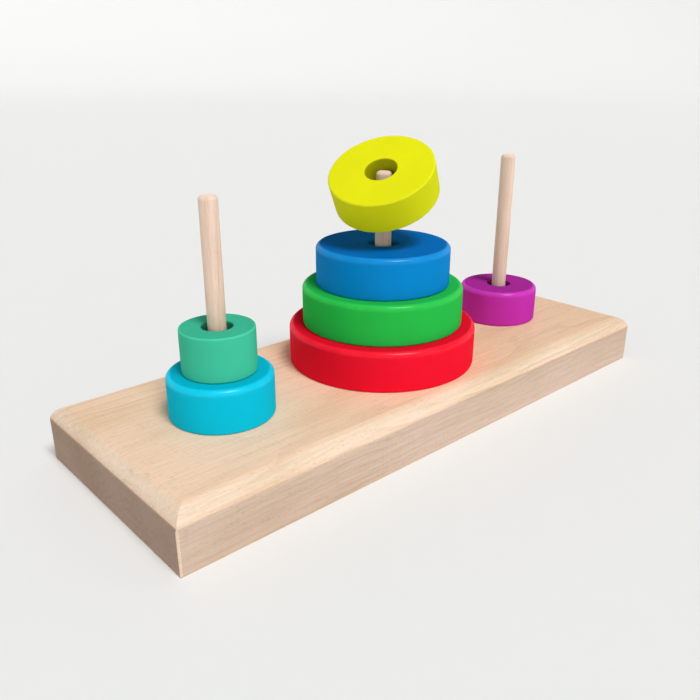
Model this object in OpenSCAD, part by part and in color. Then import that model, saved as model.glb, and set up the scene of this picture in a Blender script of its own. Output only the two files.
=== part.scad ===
// Tower of Hanoi puzzle: a wooden board with three dowel pegs and seven painted
// wooden discs. Millimetres, +Z up. The origin is at the middle of the board's
// underside, X runs along the row of pegs and Y from the front to the back.

/* [Board] */
// Length of the board, end to end
board_length = 230; // [225:1:260]
// Width of the board, front to back
board_width = 85; // [76:1:100]
// Thickness of the board
board_thickness = 20; // [18:1:26]
// Radius of the rounded edge that runs round the top
board_round = 6; // [3:0.5:8]

/* [Pegs] */
// Diameter of the dowel rod
peg_diameter = 6; // [5:0.5:6.5]
// Height of a peg above the board
peg_height = 71; // [66:1:90]
// Distance from one peg to the next
peg_pitch = 73; // [72:0.5:76]
// Depth of the blind hole that a peg is glued into
peg_hole_depth = 14; // [10:1:16]
// Radius of the rounded edge of a peg's tip
peg_tip_round = 1.4; // [0.5:0.1:2]

/* [Discs] */
// Thickness of a disc
disc_thickness = 15; // [13:0.5:15]
// Diameter of the red disc
red_diameter = 71; // [66:0.5:71]
// Diameter of the green disc
green_diameter = 60.5; // [56:0.5:65]
// Diameter of the blue disc
blue_diameter = 50; // [46:0.5:55]
// Diameter of the yellow disc
yellow_diameter = 38.5; // [37:0.5:45]
// Diameter of the turquoise disc
turquoise_diameter = 35; // [34:0.5:36.5]
// Diameter of the purple disc
purple_diameter = 33; // [28:0.5:33.5]
// Diameter of the sea-green disc
sea_green_diameter = 24.5; // [22:0.5:27.5]
// Hole through the red, green, blue and yellow discs
wide_hole = 11.5; // [11.5:0.1:13]
// Hole through the turquoise, purple and sea-green discs
narrow_hole = 10; // [8:0.5:12]
// Radius of the rounded upper edge of a disc
disc_round = 1.8; // [1:0.1:2.5]
// Radius of the edges that are only sanded
sanded_round = 0.6; // [0.3:0.1:1]

/* [Disc caught on the peg tip] */
// Thickness of the yellow disc
yellow_thickness = 12.5; // [12:0.5:13]
// Angle by which the yellow disc leans over
yellow_tilt = 31.5; // [25:0.5:31.5]
// Compass direction that its upper face leans to, counted from +X
yellow_heading = -157; // [-180:1:180]
// Depth of the peg tip below the upper face, along the disc's axis
yellow_tip_depth = 3.6; // [3.5:0.1:5]
// Distance of the disc's centre from the peg's axis, the way that it leans
yellow_shift = 1.5; // [1.4:0.1:1.6]
// Distance of its centre from the peg's axis, square to the way that it leans
yellow_side = 0.6; // [0:0.1:0.6]

/* [Hidden] */
$fn = 96;

beech = "#e9cbaa";
dowel = "#e6cdb2";
red = "#ed1c2e";
green = "#3cb54a";
blue = "#0a6fbc";
yellow = "#efe90f";
turquoise = "#10badb";
sea_green = "#45c09b";
purple = "#a3238e";

// Easing of the board's bottom edges and upright corners
board_ease = 0.8;
left_x = -peg_pitch;
centre_x = 0;
right_x = peg_pitch;
peg_xs = [left_x, centre_x, right_x];
peg_length = peg_height + peg_hole_depth;
// Height of the caught disc's centre above the board: the tip stands
// yellow_tip_depth below the upper face, and the disc leans about its centre
yellow_rise = peg_height
    - (yellow_thickness / 2 - yellow_tip_depth + yellow_shift * sin(yellow_tilt))
    / cos(yellow_tilt);

// Height of the underside of a disc that lies on `below` others
function level(below) = board_thickness + below * disc_thickness;

// The points of one corner of an outline: two where the rounding of radius r
// meets the sides, or the bare corner where r is 0. inx and iny point inwards.
function corner(x, y, inx, iny, r, sideways_first) =
    r == 0 ? [[x, y]]
    : sideways_first ? [[x + inx * r, y], [x, y + iny * r]]
    : [[x, y + iny * r], [x + inx * r, y]];

// A rectangle from x0 to x1 and from 0 to h, each corner with its own radius
module rounded_rectangle(x0, x1, h, low_left = 0, low_right = 0, top_left = 0, top_right = 0) {
    polygon([
        each corner(x0, 0, 1, 1, low_left, false),
        each corner(x1, 0, -1, 1, low_right, true),
        each corner(x1, h, -1, -1, top_right, false),
        each corner(x0, h, 1, -1, top_left, true)
    ]);
    if (low_left > 0) translate([x0 + low_left, low_left]) circle(low_left);
    if (low_right > 0) translate([x1 - low_right, low_right]) circle(low_right);
    if (top_left > 0) translate([x0 + top_left, h - top_left]) circle(top_left);
    if (top_right > 0) translate([x1 - top_right, h - top_right]) circle(top_right);
}

// Section across the board, `across` wide: rounded above, eased below
module board_section(across) {
    rounded_rectangle(
        -across / 2, across / 2, board_thickness,
        board_ease, board_ease, board_round, board_round
    );
}

// The section across the width, pushed along the length of the board
module board_along_x() {
    rotate([90, 0, 90]) linear_extrude(board_length, center = true) board_section(board_width);
}

// The section across the length, pushed along the width of the board
module board_along_y() {
    rotate([90, 0, 0]) linear_extrude(board_width, center = true) board_section(board_length);
}

// The board seen from above, with its upright corners eased
module board_outline() {
    translate([0, -board_width / 2])
        rounded_rectangle(
            -board_length / 2, board_length / 2, board_width,
            board_ease, board_ease, board_ease, board_ease
        );
}

// The board: its round-overs meet in mitres at the corners
module base_board() {
    color(beech) difference() {
        intersection() {
            board_along_x();
            board_along_y();
            linear_extrude(board_thickness) board_outline();
        }
        for (x = peg_xs)
            translate([x, 0, board_thickness - peg_hole_depth])
                cylinder(d = peg_diameter, h = peg_hole_depth + 1);
    }
}

// A dowel, standing in its blind hole, with a rounded tip
module peg(x) {
    color(dowel) translate([x, 0, board_thickness - peg_hole_depth])
        rotate_extrude() rounded_rectangle(0, peg_diameter / 2, peg_length, top_right = peg_tip_round);
}

// A disc turned about the Z axis, from z = 0 up to its thickness
module turned_disc(diameter, hole, thickness, upper_round) {
    rotate_extrude()
        rounded_rectangle(
            hole / 2, diameter / 2, thickness,
            sanded_round, sanded_round, sanded_round, upper_round
        );
}

// A disc that lies flat on `below` others, on the peg at x
module flat_disc(x, below, diameter, hole, upper_round = disc_round) {
    translate([x, 0, level(below)]) turned_disc(diameter, hole, disc_thickness, upper_round);
}

module left_peg() { peg(left_x); }
module centre_peg() { peg(centre_x); }
module right_peg() { peg(right_x); }

module red_disc() {
    color(red) flat_disc(centre_x, 0, red_diameter, wide_hole);
}

module green_disc() {
    color(green) flat_disc(centre_x, 1, green_diameter, wide_hole);
}

module blue_disc() {
    color(blue) flat_disc(centre_x, 2, blue_diameter, wide_hole);
}

// The yellow disc leans over, caught on the tip of the centre peg
module yellow_disc() {
    lean = [cos(yellow_heading), sin(yellow_heading), 0];
    hinge = [-lean.y, lean.x, 0];
    color(yellow)
        translate([centre_x, 0, board_thickness + yellow_rise])
        translate(yellow_shift * lean + yellow_side * hinge)
        rotate(yellow_tilt, hinge)
        translate([0, 0, -yellow_thickness / 2])
        turned_disc(yellow_diameter, wide_hole, yellow_thickness, sanded_round);
}

module turquoise_disc() {
    color(turquoise) flat_disc(left_x, 0, turquoise_diameter, narrow_hole);
}

module sea_green_disc() {
    color(sea_green) flat_disc(left_x, 1, sea_green_diameter, narrow_hole, sanded_round);
}

module purple_disc() {
    color(purple) flat_disc(right_x, 0, purple_diameter, narrow_hole);
}

base_board();
left_peg();
centre_peg();
right_peg();
red_disc();
green_disc();
blue_disc();
yellow_disc();
turquoise_disc();
sea_green_disc();
purple_disc();
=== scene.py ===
# %% [markdown]
# # A tower puzzle in beech and paint
# The object is a wooden stacking puzzle: a beech board with three dowel pegs, and seven painted
# discs that lift off and go back in another order. The CAD model already has every piece at its
# true size and place. This lesson gives the pieces the look of the real thing: turned discs under
# satin paint, dowels with the grain running up them, and a sanded and lacquered board.
#
# The imported model is loaded first. Its pieces are kept, and their boxes give the sizes below.

from math import cos, pi, radians, sin

import bmesh
import bpy
from mathutils import Matrix, Vector, noise


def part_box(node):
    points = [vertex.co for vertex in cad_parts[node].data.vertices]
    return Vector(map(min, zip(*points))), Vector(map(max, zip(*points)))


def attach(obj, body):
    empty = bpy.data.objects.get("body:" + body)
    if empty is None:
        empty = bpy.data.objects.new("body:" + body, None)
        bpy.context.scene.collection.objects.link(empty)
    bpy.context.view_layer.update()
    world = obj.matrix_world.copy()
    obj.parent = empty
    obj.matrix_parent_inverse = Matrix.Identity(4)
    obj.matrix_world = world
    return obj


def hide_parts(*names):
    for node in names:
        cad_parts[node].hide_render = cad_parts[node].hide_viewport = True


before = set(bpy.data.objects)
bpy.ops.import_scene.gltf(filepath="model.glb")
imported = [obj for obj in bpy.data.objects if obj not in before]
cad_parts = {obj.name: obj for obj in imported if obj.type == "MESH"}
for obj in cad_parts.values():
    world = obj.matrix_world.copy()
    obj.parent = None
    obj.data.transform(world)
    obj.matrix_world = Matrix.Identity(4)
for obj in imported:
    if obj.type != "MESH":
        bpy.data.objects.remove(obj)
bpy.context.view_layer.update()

# %% [markdown]
# ## Names and sizes
# Blender works in metres and a woodworker thinks in millimetres, so one constant turns the one
# into the other. Each piece's place comes from the box of its CAD node. What a box can't tell,
# such as the width of a hole or how far the yellow disc leans, is named here once.

# %% Sizes that the boxes don't tell
MM = 0.001
WIDE_HOLE = 11.5 * MM
NARROW_HOLE = 10 * MM
SOFT_EDGE = 1.8 * MM
SANDED_EDGE = 0.6 * MM
TIP_EDGE = 1.4 * MM

YELLOW_DIAMETER = 38.5 * MM
YELLOW_THICKNESS = 12.5 * MM
YELLOW_LEAN = radians(31.5)
YELLOW_HEADING = radians(-157)


def middle(node):
    """The middle of a CAD node's box."""
    low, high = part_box(node)
    return (low + high) / 2


def span(node):
    """The three sides of a CAD node's box."""
    low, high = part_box(node)
    return high - low


PEG_NODES = ("left_peg", "centre_peg", "right_peg")
peg_radius = span("centre_peg").x / 2
board_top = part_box("base_board")[1].z
print("dowel:", round(2 * peg_radius / MM, 2), "mm, board top at", round(board_top / MM, 1), "mm")

# %% [markdown]
# ## Camera
# The puzzle is seen from close by, from the left and slightly above, as someone at the table
# sees it. Being close matters: the near peg looks thicker than the far one, and the pegs spread
# towards the top. The camera is placed first and then aimed at a point between the pegs. A lens
# of about 38 mm keeps the whole board in a square frame from that short distance.

# %% Camera
CAMERA_PLACE = Vector((-186.7, -189.1, 128.5)) * MM
CAMERA_AIM = Vector((-9.0, 8.3, 22.0)) * MM

camera_data = bpy.data.cameras.new("camera")
camera_data.lens = 37.5
camera_data.clip_start = 0.01
camera = bpy.data.objects.new("camera", camera_data)
camera.location = CAMERA_PLACE
camera.rotation_euler = (CAMERA_AIM - CAMERA_PLACE).to_track_quat("-Z", "Y").to_euler()
bpy.context.scene.collection.objects.link(camera)
bpy.context.scene.camera = camera
print("camera is", round((CAMERA_AIM - CAMERA_PLACE).length / MM), "mm from the puzzle")

# %% [markdown]
# ## Shader maths as Python
# A procedural finish is mostly arithmetic: distances, masks and their sums. Wiring Math nodes by
# hand hides that arithmetic, so a small class wraps a socket and overloads Python's operators.
# `1 - mask * 0.5` then adds its two Math nodes by itself. Any other node comes from the method
# `node`, which takes the node's type, its settings and what goes into its sockets.


# %% A socket that can be used in arithmetic
class Wire:
    """A shader socket. Wire(tree) has no socket yet and only adds the first nodes of a tree."""

    def __init__(self, tree, socket=None):
        self.tree = tree
        self.socket = socket

    def node(self, kind, settings, inputs, out=0):
        """Add a node: its settings first, then a value or a wire for each socket that is named."""
        made = self.tree.nodes.new(kind)
        for name, value in settings.items():
            setattr(made, name, value)
        for key, value in inputs.items():
            if isinstance(value, Wire):
                self.tree.links.new(value.socket, made.inputs[key])
            else:
                made.inputs[key].default_value = value
        return Wire(self.tree, made.outputs[out])

    def math(self, operation, first, second=0.0, third=0.0):
        inputs = {0: first, 1: second, 2: third}
        return self.node("ShaderNodeMath", {"operation": operation}, inputs)

    def __add__(self, other):
        return self.math("ADD", self, other)

    __radd__ = __add__

    def __sub__(self, other):
        return self.math("SUBTRACT", self, other)

    def __rsub__(self, other):
        return self.math("SUBTRACT", other, self)

    def __mul__(self, other):
        return self.math("MULTIPLY", self, other)

    __rmul__ = __mul__

    def __truediv__(self, other):
        return self.math("DIVIDE", self, other)

    def __pow__(self, other):
        return self.math("POWER", self, other)

    def __abs__(self):
        return self.math("ABSOLUTE", self)

    def fraction(self):
        return self.math("FRACT", self)

    def step(self, low, high):
        """0 below low and 1 above high, with a smooth passage between; low may be the larger."""
        settings = {"interpolation_type": "SMOOTHSTEP"}
        if low < high:
            ends = {"From Min": low, "From Max": high}
            return self.node("ShaderNodeMapRange", settings, {"Value": self, **ends})
        return 1 - self.step(high, low)

    def parts(self):
        """The three parts of a vector."""
        split = self.node("ShaderNodeSeparateXYZ", {}, {0: self})
        outputs = split.socket.node.outputs
        return [Wire(self.tree, socket) for socket in outputs]

    def vector(self, x, y, z):
        return self.node("ShaderNodeCombineXYZ", {}, {0: x, 1: y, 2: z})

    def noise(self, detail=2.0, roughness=0.5):
        """Noise from 0 to 1 at this point; its grain is about one unit wide."""
        inputs = {"Vector": self, "Scale": 1.0, "Detail": detail, "Roughness": roughness}
        return self.node("ShaderNodeTexNoise", {}, inputs)

    def mix(self, first, second, blend="MIX"):
        """Two colours, mixed by this factor."""
        settings = {"data_type": "RGBA", "blend_type": blend}
        return self.node("ShaderNodeMix", settings, {0: self, 6: first, 7: second}, out=2)


def linear(code):
    """The linear colour of a six-digit screen colour such as e9cbaa."""
    shown = [int(code[i : i + 2], 16) / 255 for i in (0, 2, 4)]
    return (*(((c + 0.055) / 1.055) ** 2.4 if c > 0.04045 else c / 12.92 for c in shown), 1.0)


def new_finish(name):
    """A new material, its Principled shader and a wire to start from."""
    material = bpy.data.materials.new(name)
    material.use_nodes = True
    tree = material.node_tree
    shader = tree.nodes["Principled BSDF"]
    return material, shader, Wire(tree)


def connect(wire, shader, name):
    wire.tree.links.new(wire.socket, shader.inputs[name])


# %% [markdown]
# ## Millimetres inside a piece
# Every pattern below is written in a piece's own millimetres: the origin at its middle, the grain
# along X. A Mapping node of the Texture kind does that. It takes the Object coordinates, undoes
# the piece's place and turn, and divides by the size of a millimetre.


# %% Coordinates in the piece's own millimetres
def own_millimetres(start, centre, turn=(0.0, 0.0, 0.0)):
    """Wires for x, y and z in millimetres from centre, along the axes of a piece turned by turn."""
    place = start.node("ShaderNodeTexCoord", {}, {}, out="Object")
    settings = {"vector_type": "TEXTURE"}
    inputs = {"Vector": place, "Location": centre, "Rotation": turn, "Scale": (MM, MM, MM)}
    return start.node("ShaderNodeMapping", settings, inputs).parts()


# %% [markdown]
# ## Beech
# Beech is a pale, pinkish wood with little figure. Three things make it beech and not just a
# beige colour. Its growth rings are faint bands, each darkening slowly and ending at a thin line.
# Its rays show as short dark flecks along the grain, about two millimetres long and a third of a
# millimetre wide. Its fibres are fine streaks. All three run along the trunk, so the pattern is
# made in space, not painted on: on an end face the same flecks become dots and the bands become
# arcs. An end face also takes a tone of its own. On the board it is much darker: partly the
# finish soaking into the end grain, partly painted shade on the ends, which the key hardly
# reaches. On the pegs it is lighter: a painted highlight on the tips, which face the key.
#
# A planed board gets two more differences between its faces. Its long sides are made a little
# darker than the top: painted shade, as they face the key less squarely. Its rounded edges are
# made the palest part: a painted highlight where the round-over catches the key. They also shine
# through a thicker coat of lacquer. Masks from the surface normal find those faces.


# %% Beech with its grain along the piece's own X
RING_WIDTH = 2.7
FLECK_LENGTH = 2.0
FLECK_WIDTH = 0.30
RING_WANDER = 15.0
GRAIN_DEPTH = 0.03 * MM
# Painted shade for the long sides, and a painted highlight for the rounded edges.
LONG_SIDE_PAINTED_SHADE = (0.75, 0.79, 0.87, 1.0)
ROUND_EDGE_PAINTED_HIGHLIGHT = (0.96, 1.04, 1.10, 1.0)
# The dark ring at each peg's foot: partly the glue joint, partly painted shade.
GLUE_AND_SHADE_RING_INSIDE, GLUE_AND_SHADE_RING_OUTSIDE = 3.0, 3.7


def beech(
    name, centre, turn, grain, pith, pale, warm, flecks, end_tone, planed=False, dark_rings=()
):
    """Beech with its rings round a pith at pith = (y, z) mm; grain is the same axis in the frame.

    flecks is the strength of the rays, and end_tone what the end grain's colour is multiplied by.
    A planed piece is flat-sided: its long sides get painted shade, and its rounded edges a painted
    highlight and a thicker coat. Its dark_rings are the places (x, y) in mm, from its middle, where
    a peg is glued in."""
    material, shader, start = new_finish(name)
    x, y, z = own_millimetres(start, centre, turn)

    wander = start.vector(x * 0.011, y * 0.045, z * 0.045).noise(2.0) - 0.5
    depth = (y - pith[0]) ** 2.0 + (z - pith[1]) ** 2.0
    radius = depth ** 0.5 + wander * RING_WANDER
    ring = (radius / RING_WIDTH).fraction() ** 3.0
    ring_strength = start.vector(x * 0.006, y * 0.07, z * 0.07).noise(1.0).step(0.3, 0.75)

    cells = start.vector(x / FLECK_LENGTH, y / FLECK_WIDTH, z / FLECK_WIDTH)
    voronoi = cells.node("ShaderNodeTexVoronoi", {}, {"Vector": cells, "Scale": 1.0})
    chance = Wire(start.tree, voronoi.socket.node.outputs["Color"]).parts()[0]
    crowd = start.vector(x * 0.05, y * 0.3, z * 0.3).noise(2.0).step(0.35, 0.65)
    fleck = voronoi.step(0.45, 0.2) * chance.step(0.45, 0.85) * (0.4 + crowd * 0.8)

    fibre = start.vector(x * 0.14, y * 3.0, z * 3.0).noise(3.0, 0.6)
    fine = start.vector(x * 0.5, y * 9.0, z * 9.0).noise(2.0, 0.6)
    streak = start.vector(x * 0.020, y * 0.9, z * 0.9).noise(3.0, 0.6)
    blotch = start.vector(x * 0.014, y * 0.035, z * 0.035).noise(2.0).step(0.32, 0.7)

    normal = start.node("ShaderNodeNewGeometry", {}, {}, out="Normal")
    settings = {"operation": "DOT_PRODUCT"}
    facing = start.node("ShaderNodeVectorMath", settings, {0: normal, 1: grain}, out="Value")
    end_face = abs(facing).step(0.945, 0.985)

    colour = blotch.mix(pale, warm)
    shade = 1.0 - ring * ring_strength * 0.13 - fleck * flecks
    shade = shade + (fibre - 0.5) * 0.30 + (fine - 0.5) * 0.16 + (streak - 0.5) * 0.28
    shade = shade - end_face * (fine - 0.5) * 0.3
    # A dark ring at each peg's foot: partly the glue joint, partly painted shade where peg and
    # board meet.
    for place_x, place_y in dark_rings:
        away = ((x - place_x) ** 2.0 + (y - place_y) ** 2.0) ** 0.5
        shade = shade * (1.0 - away.step(GLUE_AND_SHADE_RING_OUTSIDE, GLUE_AND_SHADE_RING_INSIDE) * 0.45)
    brown = start.node("ShaderNodeCombineColor", {}, {0: shade, 1: shade ** 1.22, 2: shade ** 1.5})
    settings = {"data_type": "RGBA", "blend_type": "MULTIPLY"}
    colour = start.node("ShaderNodeMix", settings, {0: 1.0, 6: colour, 7: brown}, out=2)
    # An end face takes end_tone: on the board partly end grain and partly painted shade, on the peg
    # tips a painted highlight.
    colour = end_face.mix(colour, (*end_tone, 1.0), "MULTIPLY")
    coat = 0.06 + streak * 0.04
    if planed:
        across, up = [abs(part) for part in normal.parts()[1:]]
        flattest = across.math("MAXIMUM", across.math("MAXIMUM", across, up), abs(facing))
        edge = flattest.step(0.985, 0.86)
        # The long sides are made darker than the top: painted shade.
        colour = across.step(0.945, 0.985).mix(colour, LONG_SIDE_PAINTED_SHADE, "MULTIPLY")
        # The rounded edges are made paler: a painted highlight.
        colour = edge.mix(colour, ROUND_EDGE_PAINTED_HIGHLIGHT, "MULTIPLY")
        coat = coat + edge * (0.5 + streak * 0.4)
    connect(colour, shader, "Base Color")
    connect(0.42 + fleck * 0.10 + end_face * 0.16 + (fibre - 0.5) * 0.10, shader, "Roughness")

    height = fibre * 0.5 + fine * 0.35 - fleck * 0.5 - ring * ring_strength * 0.3
    bump = {"Height": height, "Distance": GRAIN_DEPTH, "Strength": 1.0}
    connect(start.node("ShaderNodeBump", {}, bump), shader, "Normal")
    connect(coat, shader, "Coat Weight")
    shader.inputs["Coat Roughness"].default_value = 0.30
    shader.inputs["Specular IOR Level"].default_value = 0.04
    return material


# %% [markdown]
# ## Satin paint on wood
# The discs are beech too, sanded and brushed with satin paint. The coat is thin: under a raking
# light the grain still shows as fine lines, and the colour gathers a little unevenly. The upper
# rim is made lighter: partly paint rubbed thin there, partly a painted highlight where the key
# catches the rounded edge. The flat faces have a colour of their own: a deeper one on most discs,
# which is painted shade, and a lighter one on the yellow disc, a painted highlight. Inside the hole
# the colour is made dark, which is painted shade in the recess, and the paint there is rough. The
# pattern is made in the disc's own millimetres, so that it tilts with the yellow disc. The studio
# is pale all round, and a plain gloss would mirror it and wash the colours out, so the shine is
# kept for the rubbed edges.


# %% Satin paint
SATIN_ROUGHNESS = 0.42
SATIN_COAT, FACE_COAT, RUBBED_COAT = 0.06, 0.015, 0.14


def satin_paint(name, colour, painted_light_face_colour, centre, turn, outer, hole, thickness, edge):
    """Paint for a disc, with a colour of its own on the flat faces, which paints their light: a
    deeper colour is painted shade, a lighter one a painted highlight. outer, hole and edge are
    radii in mm."""
    material, shader, start = new_finish(name)
    x, y, z = own_millimetres(start, centre, turn)
    radius = (x ** 2.0 + y ** 2.0) ** 0.5
    level = abs(z)

    grain = start.vector(x * 0.10, y * 1.7, z * 1.7).noise(4.0, 0.62)
    pooled = start.vector(x * 0.07, y * 0.07, z * 0.07).noise(2.0)
    peel = start.vector(x * 0.9, y * 0.9, z * 0.9).noise(2.0)

    top = thickness / 2
    inner_ring = radius.step(outer - edge * 0.5, outer - edge * 1.1)
    flat = level.step(top - 0.6, top - 0.1) * inner_ring
    high = z.step(top - edge * 1.4, top - edge * 0.7)
    rim = radius.step(outer - edge * 1.3, outer - edge * 0.7) * high
    worn = start.vector(x * 0.16, y * 0.16, z * 0.16).noise(2.0).step(0.3, 0.7)
    bore = radius.step(hole + 0.35, hole + 0.05)

    # The upper rim is lightened: partly paint rubbed thin, partly a painted highlight from the key.
    lighter = [min(1.0, channel * 1.12 + 0.004) for channel in colour[:3]] + [1.0]
    tint = (rim * (0.3 + worn * 0.7)).mix(colour, lighter)
    # The flat faces take their own colour: painted shade where it is deeper, a painted highlight
    # where it is lighter.
    tint = flat.mix(tint, painted_light_face_colour)
    tint = (pooled.step(0.3, 0.7) * 0.45 + grain * 0.15).mix(tint, (0.9, 0.9, 0.9, 1.0), "MULTIPLY")
    # Darker inside the hole: painted shade in the recess.
    tint = (bore * 0.6).mix(tint, [channel * 0.35 for channel in colour[:3]] + [1.0])
    connect(tint, shader, "Base Color")
    rough = SATIN_ROUGHNESS + (pooled - 0.5) * 0.14 + grain * 0.06 + bore * 0.3
    connect(rough, shader, "Roughness")

    height = grain * 0.8 + peel * 0.35
    bump = {"Height": height, "Distance": GRAIN_DEPTH, "Strength": 1.0}
    connect(start.node("ShaderNodeBump", {}, bump), shader, "Normal")
    coat = SATIN_COAT - flat * (SATIN_COAT - FACE_COAT) + rim * (1 - flat) * RUBBED_COAT * edge
    connect(coat, shader, "Coat Weight")
    shader.inputs["Coat Roughness"].default_value = 0.26
    shader.inputs["Specular IOR Level"].default_value = 0.0
    return material


# %% [markdown]
# ## Turned pieces
# A disc comes off a lathe and a dowel out of a round cutter, so both are a section swept round an
# axis. The section starts as four corners. Each corner is rounded with a vertex bevel of its own
# radius, the long sides are divided so that the surface has somewhere to bend, and a spin closes
# the shape. Modelling the round edge in the section, and not as a bevel afterwards, gives clean
# rings of faces that catch the light as one soft line.
#
# Sanding by hand never takes the same amount off all round. So the rounded rims are pushed in by
# a few hundredths of a millimetre, following a slow noise. The highlight on them then wavers a
# little, as it does on wood, and the piece stays inside its CAD size.

# %% Sweep a section with rounded corners round the Z axis
ROUND_STEPS = 7
SANDING = 0.09 * MM


def turned_piece(name, inner, outer, height, rounds, turns):
    """A piece turned round Z, from z = -height / 2 up. rounds: inner foot, outer foot, outer top,
    inner top. A piece with inner = 0 is solid, and its section is closed at the axis."""
    shape = bmesh.new()
    corners = [(inner, 0), (outer, 0), (outer, height), (inner, height)]
    points = [shape.verts.new((x, 0, z - height / 2)) for x, z in corners]
    shape.faces.new(points)
    for point, radius in zip(points, rounds):
        if radius:
            bmesh.ops.bevel(
                shape,
                geom=[point],
                offset=radius,
                offset_type="OFFSET",
                segments=ROUND_STEPS,
                profile=0.5,
                affect="VERTICES",
                material=-1,
            )
    bmesh.ops.delete(shape, geom=shape.faces[:], context="FACES_ONLY")
    if not inner:
        on_axis = [e for e in shape.edges if all(v.co.x < 1e-9 for v in e.verts)]
        bmesh.ops.delete(shape, geom=on_axis, context="EDGES")
    long_sides = [e for e in shape.edges if e.calc_length() > 2 * MM]
    bmesh.ops.subdivide_edges(shape, edges=long_sides, cuts=5)
    bmesh.ops.spin(
        shape,
        geom=shape.verts[:] + shape.edges[:],
        axis=(0, 0, 1),
        cent=(0, 0, 0),
        angle=2 * pi,
        steps=turns,
        use_merge=True,
    )
    bmesh.ops.remove_doubles(shape, verts=shape.verts[:], dist=1e-7)
    bmesh.ops.recalc_face_normals(shape, faces=shape.faces[:])
    return shape


def sand_by_hand(shape, outer, height, seed):
    """Push the outer rims in a little, by an amount that wanders round the piece."""
    for vert in shape.verts:
        reach = vert.co.xy.length
        near_rim = max(0.0, 1 - (outer - reach) / (2.2 * MM))
        near_face = max(0.0, 1 - (height / 2 - abs(vert.co.z)) / (2.2 * MM))
        angle_point = Vector((vert.co.x, vert.co.y, 0)).normalized() * 2.3
        amount = 0.5 + 0.5 * noise.noise(angle_point + Vector((0, 0, seed + vert.co.z / MM)))
        inwards = SANDING * amount * near_rim * near_face
        vert.co.z -= inwards * (1 if vert.co.z > 0 else -1)
        vert.co.xy *= 1 - inwards / max(reach, 1e-6)


def finished_piece(name, shape, place, finish, body, node):
    """Put a shape in its place, give it its finish and let it stand for its CAD node."""
    shape.transform(place)
    mesh = bpy.data.meshes.new(name)
    shape.to_mesh(mesh)
    shape.free()
    for face in mesh.polygons:
        face.use_smooth = True
    mesh.materials.append(finish)
    piece = bpy.data.objects.new(name, mesh)
    bpy.context.scene.collection.objects.link(piece)
    flats = piece.modifiers.new("flat faces stay flat", "WEIGHTED_NORMAL")
    flats.keep_sharp = True
    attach(piece, body)
    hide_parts(node)
    return piece


# %% [markdown]
# ## The seven discs
# Six discs lie flat. The yellow one is caught on the tip of the centre peg and leans over, so it
# is turned about a level axis, square to the direction that its upper face looks in. The softly
# rounded upper edge belongs to most of the discs; the yellow and the sea-green one are crisper.

# %% Paint, turn and place the discs
# Each disc's paint, then the colour of its flat faces: painted shade on most, a painted highlight
# on the yellow.
PAINTS = {
    "red": ("f0142e", "e01129"),
    "green": ("28bb48", "22b04b"),
    "blue": ("0684cc", "0464b4"),
    "yellow": ("d6da16", "e2e118"),
    "turquoise": ("08c2e2", "06aeca"),
    "sea_green": ("42c29c", "3cb18f"),
    "purple": ("c132b1", "9f278f"),
}
NARROW = ("turquoise", "sea_green", "purple")
CRISP = ("yellow", "sea_green")

lean_axis = Vector((-sin(YELLOW_HEADING), cos(YELLOW_HEADING), 0))
for count, (word, (code, painted_light_face_code)) in enumerate(PAINTS.items()):
    node = word + "_disc"
    centre = middle(node)
    diameter, height = span(node).x, span(node).z
    turn = Matrix.Identity(3)
    if word == "yellow":
        diameter, height = YELLOW_DIAMETER, YELLOW_THICKNESS
        turn = Matrix.Rotation(YELLOW_LEAN, 3, lean_axis)
    twist = Matrix.Rotation(radians(25 + 47 * count), 3, "Z")
    turn = turn @ twist
    hole = NARROW_HOLE if word in NARROW else WIDE_HOLE
    upper_edge = SANDED_EDGE if word in CRISP else SOFT_EDGE
    rounds = (SANDED_EDGE, SANDED_EDGE, upper_edge, SANDED_EDGE)
    shape = turned_piece(word, hole / 2, diameter / 2, height, rounds, turns=144)
    sand_by_hand(shape, diameter / 2, height, seed=10.0 * count)
    finish = satin_paint(
        word + " satin paint",
        linear(code),
        linear(painted_light_face_code),
        centre,
        turn.to_euler(),
        outer=diameter / 2 / MM,
        hole=hole / 2 / MM,
        thickness=height / MM,
        edge=upper_edge / MM,
    )
    place = Matrix.Translation(centre) @ turn.to_4x4()
    piece = finished_piece("painted_" + node, shape, place, finish, body=word, node=node)
    print(f"{node}: {diameter / MM:.1f} x {height / MM:.1f} mm, {len(piece.data.polygons)} faces")

# %% [markdown]
# ## The three pegs
# The pegs are cut from one length of dowel, so the grain runs up them and the tips show end
# grain. Each takes its pattern from its own place in the trunk, so that no two look alike.

# %% Turn and place the pegs
UPRIGHT = (0.0, -pi / 2, 0.0)
DOWEL_PALE, DOWEL_WARM = linear("eed5c3"), linear("dfc1ab")

for count, node in enumerate(PEG_NODES):
    centre = middle(node)
    length = span(node).z
    finish = beech(
        node + " beech",
        centre,
        UPRIGHT,
        grain=(0, 0, 1),
        pith=(9.0 + 7.0 * count, 26.0 - 9.0 * count),
        pale=DOWEL_PALE,
        warm=DOWEL_WARM,
        flecks=0.05,
        # The tips are made lighter than the sides: a painted highlight on the end grain, which
        # faces the key.
        end_tone=(1.10, 1.10, 1.08),
    )
    shape = turned_piece(node, 0, peg_radius, length, (0, 0, TIP_EDGE, 0), turns=64)
    place = Matrix.Translation(centre)
    piece = finished_piece("dowel_" + node, shape, place, finish, body="base", node=node)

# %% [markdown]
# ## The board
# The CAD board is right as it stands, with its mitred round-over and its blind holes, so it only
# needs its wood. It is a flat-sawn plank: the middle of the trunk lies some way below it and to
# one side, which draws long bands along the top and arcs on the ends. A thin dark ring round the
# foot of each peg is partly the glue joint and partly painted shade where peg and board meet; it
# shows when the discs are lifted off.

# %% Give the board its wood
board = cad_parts["base_board"]
board_centre = middle("base_board")
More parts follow.
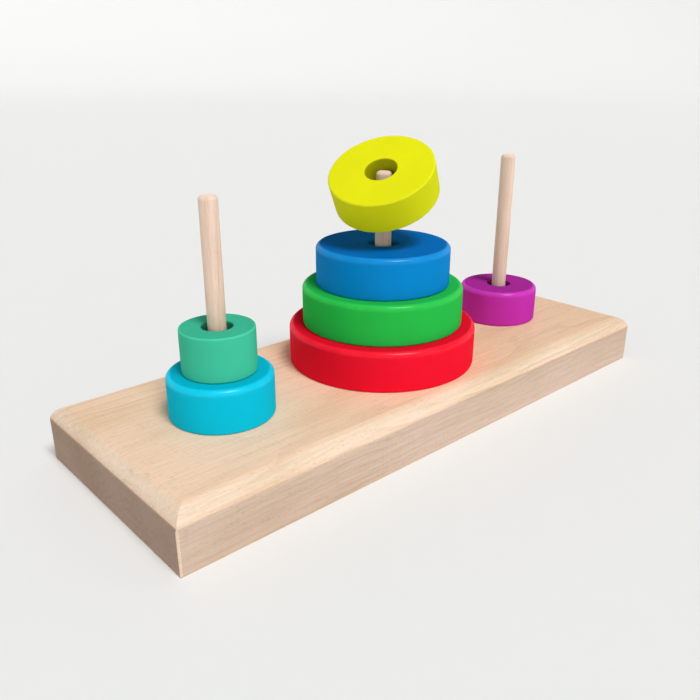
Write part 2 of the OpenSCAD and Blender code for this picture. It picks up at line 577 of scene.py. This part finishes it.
peg_places = [
    ((middle(node) - board_centre).x / MM, (middle(node) - board_centre).y / MM)
    for node in PEG_NODES
]
board_wood = beech(
    "board beech",
    board_centre,
    (0.0, 0.0, 0.0),
    grain=(1, 0, 0),
    pith=(-31.0, -64.0),
    pale=linear("edcdb1"),
    warm=linear("e1bf9e"),
    flecks=0.15,
    # The ends are made much darker: partly end grain soaking up the finish, partly painted shade,
    # as the key hardly reaches them.
    end_tone=(0.47, 0.46, 0.49),
    planed=True,
    dark_rings=peg_places,
)
board.data.materials.clear()
board.data.materials.append(board_wood)
print("board:", [round(side / MM, 1) for side in span("base_board")], "mm")

# %% [markdown]
# ## A plain studio
# The puzzle stands on a plain pale sweep: a floor that curves up into a slope on all sides, so
# that no horizon shows. It is a section spun round the Z axis, like the discs. The key is a sun
# with a wide angle, which makes soft shadows. It stands in front and high up, so it lights the top
# and the long front of the board, leaves the left end in shade, and puts the soft bright line on
# the upper edges of the discs. A weak, even surround fills the shadows.

# %% Key light
KEY_AZIMUTH = radians(-95)
KEY_HEIGHT = radians(60)
KEY_STRENGTH = 2.46
key_data = bpy.data.lights.new("key", "SUN")
key_data.energy = KEY_STRENGTH
key_data.angle = radians(22)
key = bpy.data.objects.new("key", key_data)
towards_key = Vector((cos(KEY_AZIMUTH), sin(KEY_AZIMUTH), 0)) * cos(KEY_HEIGHT)
towards_key.z = sin(KEY_HEIGHT)
key.rotation_euler = towards_key.to_track_quat("Z", "Y").to_euler()
bpy.context.scene.collection.objects.link(key)

# %% [markdown]
# The key lights the floor but leaves the slope on its own side dark, and that would hang behind
# the puzzle in every view from the back. So the sweep gives back a part of what the key withholds:
# the less its surface faces the key, the more it glows. The slope rises at 45 degrees and the key
# stands at 60, so the slope never shades the floor. The sweep then looks almost the same all
# round, like the inside of a light tent.

# %% Floor
SWEEP_RADIUS = 2.6
SWEEP_CURVE = 0.8
SWEEP_HEIGHT = 3.0
FLOOR_GREY = 0.80
GLOW = 0.80
sweep = bmesh.new()
reach = SWEEP_RADIUS + SWEEP_CURVE
section = [(0, 0), (reach, 0), (reach + SWEEP_HEIGHT, SWEEP_HEIGHT)]
points = [sweep.verts.new((x, 0, z)) for x, z in section]
for first, second in zip(points, points[1:]):
    sweep.edges.new((first, second))
bmesh.ops.bevel(
    sweep,
    geom=[points[1]],
    offset=SWEEP_CURVE,
    offset_type="OFFSET",
    segments=24,
    profile=0.5,
    affect="VERTICES",
    material=-1,
)
bmesh.ops.spin(
    sweep,
    geom=sweep.verts[:] + sweep.edges[:],
    axis=(0, 0, 1),
    cent=(0, 0, 0),
    angle=2 * pi,
    steps=96,
    use_merge=True,
)
bmesh.ops.remove_doubles(sweep, verts=sweep.verts[:], dist=1e-6)
bmesh.ops.recalc_face_normals(sweep, faces=sweep.faces[:])
bmesh.ops.reverse_faces(sweep, faces=sweep.faces[:])
floor_mesh = bpy.data.meshes.new("floor")
sweep.to_mesh(floor_mesh)
sweep.free()
for face in floor_mesh.polygons:
    face.use_smooth = True
floor = bpy.data.objects.new("floor", floor_mesh)
bpy.context.scene.collection.objects.link(floor)

floor_finish, floor_shader, start = new_finish("pale floor")
floor_shader.inputs["Base Color"].default_value = (FLOOR_GREY, FLOOR_GREY, FLOOR_GREY * 0.99, 1.0)
floor_shader.inputs["Roughness"].default_value = 0.85
normal = start.node("ShaderNodeNewGeometry", {}, {}, out="Normal")
facing = normal.node(
    "ShaderNodeVectorMath", {"operation": "DOT_PRODUCT"}, {0: normal, 1: towards_key}, out="Value"
)
withheld = sin(KEY_HEIGHT) - facing.math("MAXIMUM", facing, 0.0)
floor_shine = FLOOR_GREY * KEY_STRENGTH / pi
glow = withheld.math("MAXIMUM", withheld, 0.0) * (GLOW * floor_shine)
white = start.node("ShaderNodeCombineColor", {}, {0: glow, 1: glow, 2: glow})
connect(white, floor_shader, "Emission Color")
floor_shader.inputs["Emission Strength"].default_value = 1.0
floor_mesh.materials.append(floor_finish)

# %% Surrounding light
SURROUND_STRENGTH = 0.28
world = bpy.data.worlds.new("studio")
world.use_nodes = True
background = world.node_tree.nodes["Background"]
background.inputs["Color"].default_value = (1.0, 1.0, 1.0, 1.0)
background.inputs["Strength"].default_value = SURROUND_STRENGTH
bpy.context.scene.world = world
bpy.context.scene.view_settings.view_transform = "Standard"
